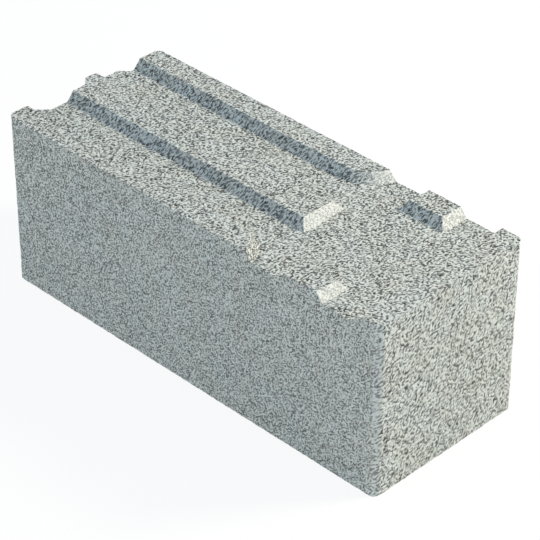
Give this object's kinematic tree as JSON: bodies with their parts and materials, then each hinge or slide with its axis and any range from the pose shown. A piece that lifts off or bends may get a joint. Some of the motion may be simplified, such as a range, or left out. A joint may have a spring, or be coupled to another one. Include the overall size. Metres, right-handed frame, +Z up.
{
  "type": "concrete corner block",
  "caption": "Solid concrete walling block with a plain end, a tongue-and-groove end and crossing grooves for reinforcing bars in its top bed.",
  "frame": {"origin": "middle of the bed (bottom) face, under the centre of the bounding box", "axes": "+X along the length towards the plain end, +Y towards the back face, +Z up towards the grooved top"},
  "size_m": [0.49, 0.19, 0.19],
  "materials": {
    "concrete": "pale grey pressed concrete with an open, fine-grained skin full of small dark pits"
  },
  "bodies": {
    "root": {"concrete_block": "concrete"}
  },
  "joints": []
}
